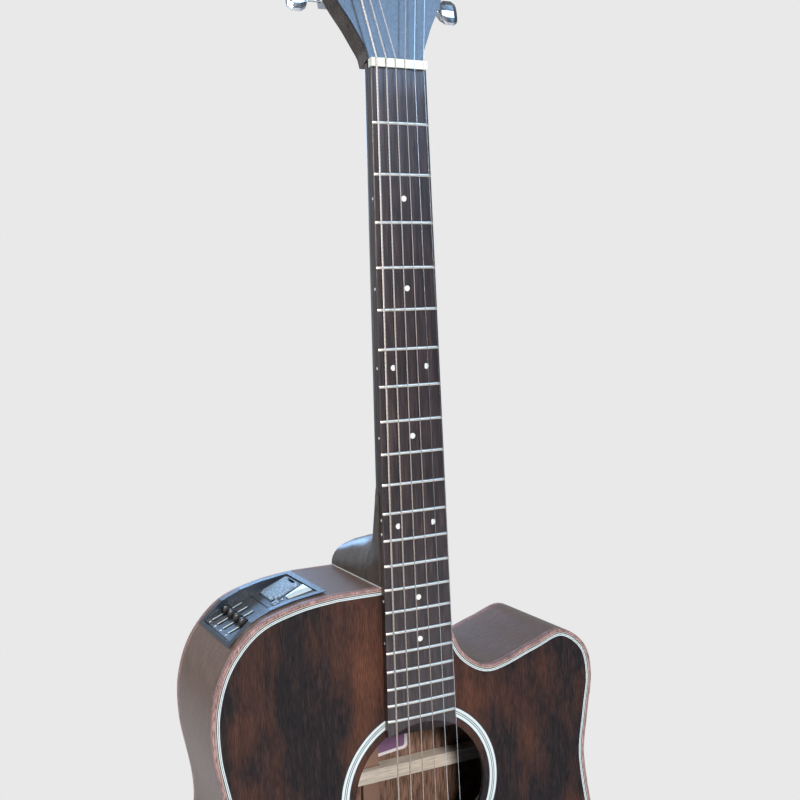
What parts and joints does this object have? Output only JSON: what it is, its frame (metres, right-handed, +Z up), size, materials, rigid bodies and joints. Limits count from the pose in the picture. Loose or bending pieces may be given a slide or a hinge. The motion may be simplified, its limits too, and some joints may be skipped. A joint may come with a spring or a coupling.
{
  "type": "acoustic-electric guitar",
  "caption": "Cutaway steel-string acoustic-electric guitar with a round sound hole, side preamp, geared tuners and pinned bridge.",
  "frame": {"origin": "front edge of the nut on the fretboard's centre line, where a hanger cradles the neck", "axes": "+Z up along the neck to the headstock, -Y out of the front, +X to the treble side"},
  "size_m": [0.412, 0.1276, 1.0736],
  "materials": {
    "stained_top": "dark stained open-pore top, satin",
    "side_wood": "grey-brown satin sides and back",
    "pale_wood": "bare spruce and mahogany inside",
    "binding_wood": "pinkish-brown wood binding, satin",
    "inlay": "white and black ring inlay",
    "neck_wood": "dark satin neck",
    "rosewood": "dark brown open-grained fretboard wood",
    "bone": "white nut, saddle and pins",
    "bronze_wire": "wound bronze and plain steel strings",
    "nickel": "plated metal hardware",
    "black_plastic": "moulded satin black",
    "grey_plastic": "textured grey moulding"
  },
  "bodies": {
    "guitar": {"back_binding": "binding_wood", "back_bracing": "pale_wood", "back_lining": "pale_wood", "back_plate": "side_wood", "battery": "black_plastic", "bridge": "rosewood", "bridge_plate": "pale_wood", "fretboard": "rosewood", "headstock_overlay": "rosewood", "neck": "neck_wood", "neck_block": "pale_wood", "nut": "bone", "output_jack": "nickel", "preamp_housing": "black_plastic", "rim": "side_wood", "rosette": "inlay", "saddle": "bone", "soundboard": "stained_top", "string_1": "bronze_wire", "string_2": "bronze_wire", "string_3": "bronze_wire", "string_4": "bronze_wire", "string_5": "bronze_wire", "string_6": "bronze_wire", "tail_block": "pale_wood", "top_binding": "binding_wood", "top_bracing": "pale_wood", "top_lining": "pale_wood", "truss_rod": "nickel", "tuner_housing_1": "nickel", "tuner_housing_2": "nickel", "tuner_housing_3": "nickel", "tuner_housing_4": "nickel", "tuner_housing_5": "nickel", "tuner_housing_6": "nickel", "under_saddle_pickup": "nickel"},
    "battery_door": {"battery_door": "grey_plastic"},
    "bridge_pin_1": {"bridge_pin_1": "bone"},
    "bridge_pin_2": {"bridge_pin_2": "bone"},
    "bridge_pin_3": {"bridge_pin_3": "bone"},
    "bridge_pin_4": {"bridge_pin_4": "bone"},
    "bridge_pin_5": {"bridge_pin_5": "bone"},
    "bridge_pin_6": {"bridge_pin_6": "bone"},
    "eq_slider_1": {"eq_slider_1": "black_plastic"},
    "eq_slider_2": {"eq_slider_2": "black_plastic"},
    "eq_slider_3": {"eq_slider_3": "black_plastic"},
    "eq_slider_4": {"eq_slider_4": "black_plastic"},
    "phase_button": {"phase_button": "grey_plastic"},
    "tuner_knob_1": {"tuner_knob_1": "nickel"},
    "tuner_knob_2": {"tuner_knob_2": "nickel"},
    "tuner_knob_3": {"tuner_knob_3": "nickel"},
    "tuner_knob_4": {"tuner_knob_4": "nickel"},
    "tuner_knob_5": {"tuner_knob_5": "nickel"},
    "tuner_knob_6": {"tuner_knob_6": "nickel"},
    "tuner_post_1": {"tuner_post_1": "nickel"},
    "tuner_post_2": {"tuner_post_2": "nickel"},
    "tuner_post_3": {"tuner_post_3": "nickel"},
    "tuner_post_4": {"tuner_post_4": "nickel"},
    "tuner_post_5": {"tuner_post_5": "nickel"},
    "tuner_post_6": {"tuner_post_6": "nickel"}
  },
  "joints": [
    {"name": "slide_eq_1", "type": "slide", "parent": "guitar", "child": "eq_slider_1", "axis": [0.9263, 0, 0.3767], "range_m": [-0.011, 0.011]},
    {"name": "slide_eq_2", "type": "slide", "parent": "guitar", "child": "eq_slider_2", "axis": [0.9263, 0, 0.3767], "range_m": [-0.011, 0.011]},
    {"name": "slide_eq_3", "type": "slide", "parent": "guitar", "child": "eq_slider_3", "axis": [0.9263, 0, 0.3767], "range_m": [-0.011, 0.011]},
    {"name": "slide_eq_4", "type": "slide", "parent": "guitar", "child": "eq_slider_4", "axis": [0.9263, 0, 0.3767], "range_m": [-0.011, 0.011]},
    {"name": "press_phase_button", "type": "slide", "parent": "guitar", "child": "phase_button", "axis": [0.3767, 0, -0.9263], "range_m": [0, 0.001], "stiffness_N_per_m": 400},
    {"name": "open_battery_door", "type": "hinge", "parent": "guitar", "child": "battery_door", "pos_m": [-0.07321, 0.06575, -0.36119], "axis": [0, 1, 0], "range_deg": [0, 100]},
    {"name": "pull_pin_1", "type": "slide", "parent": "guitar", "child": "bridge_pin_1", "axis": [0, -1, 0], "range_m": [0, 0.032]},
    {"name": "pull_pin_2", "type": "slide", "parent": "guitar", "child": "bridge_pin_2", "axis": [0, -1, 0], "range_m": [0, 0.032]},
    {"name": "pull_pin_3", "type": "slide", "parent": "guitar", "child": "bridge_pin_3", "axis": [0, -1, 0], "range_m": [0, 0.032]},
    {"name": "pull_pin_4", "type": "slide", "parent": "guitar", "child": "bridge_pin_4", "axis": [0, -1, 0], "range_m": [0, 0.032]},
    {"name": "pull_pin_5", "type": "slide", "parent": "guitar", "child": "bridge_pin_5", "axis": [0, -1, 0], "range_m": [0, 0.032]},
    {"name": "pull_pin_6", "type": "slide", "parent": "guitar", "child": "bridge_pin_6", "axis": [0, -1, 0], "range_m": [0, 0.032]},
    {"name": "turn_knob_1", "type": "hinge", "parent": "guitar", "child": "tuner_knob_1", "pos_m": [-0.031, 0.03578, 0.05141], "axis": [1, 0, 0], "continuous": true},
    {"name": "turn_post_1", "type": "hinge", "parent": "guitar", "child": "tuner_post_1", "pos_m": [-0.031, 0.03753, 0.05901], "axis": [0, -0.9744, 0.225], "continuous": true},
    {"name": "turn_knob_2", "type": "hinge", "parent": "guitar", "child": "tuner_knob_2", "pos_m": [-0.0305, 0.04478, 0.09039], "axis": [1, 0, 0], "continuous": true},
    {"name": "turn_post_2", "type": "hinge", "parent": "guitar", "child": "tuner_post_2", "pos_m": [-0.0305, 0.04653, 0.09799], "axis": [0, -0.9744, 0.225], "continuous": true},
    {"name": "turn_knob_3", "type": "hinge", "parent": "guitar", "child": "tuner_knob_3", "pos_m": [-0.03, 0.05378, 0.12936], "axis": [1, 0, 0], "continuous": true},
    {"name": "turn_post_3", "type": "hinge", "parent": "guitar", "child": "tuner_post_3", "pos_m": [-0.03, 0.05553, 0.13696], "axis": [0, -0.9744, 0.225], "continuous": true},
    {"name": "turn_knob_4", "type": "hinge", "parent": "guitar", "child": "tuner_knob_4", "pos_m": [0.031, 0.03578, 0.05141], "axis": [1, 0, 0], "continuous": true},
    {"name": "turn_post_4", "type": "hinge", "parent": "guitar", "child": "tuner_post_4", "pos_m": [0.031, 0.03753, 0.05901], "axis": [0, -0.9744, 0.225], "continuous": true},
    {"name": "turn_knob_5", "type": "hinge", "parent": "guitar", "child": "tuner_knob_5", "pos_m": [0.0305, 0.04478, 0.09039], "axis": [1, 0, 0], "continuous": true},
    {"name": "turn_post_5", "type": "hinge", "parent": "guitar", "child": "tuner_post_5", "pos_m": [0.0305, 0.04653, 0.09799], "axis": [0, -0.9744, 0.225], "continuous": true},
    {"name": "turn_knob_6", "type": "hinge", "parent": "guitar", "child": "tuner_knob_6", "pos_m": [0.03, 0.05378, 0.12936], "axis": [1, 0, 0], "continuous": true},
    {"name": "turn_post_6", "type": "hinge", "parent": "guitar", "child": "tuner_post_6", "pos_m": [0.03, 0.05553, 0.13696], "axis": [0, -0.9744, 0.225], "continuous": true}
  ],
  "couplings": [
    {"joint": "turn_post_1", "follows": "turn_knob_1", "ratio": 0.071429},
    {"joint": "turn_post_2", "follows": "turn_knob_2", "ratio": 0.071429},
    {"joint": "turn_post_3", "follows": "turn_knob_3", "ratio": 0.071429},
    {"joint": "turn_post_4", "follows": "turn_knob_4", "ratio": 0.071429},
    {"joint": "turn_post_5", "follows": "turn_knob_5", "ratio": 0.071429},
    {"joint": "turn_post_6", "follows": "turn_knob_6", "ratio": 0.071429}
  ]
}
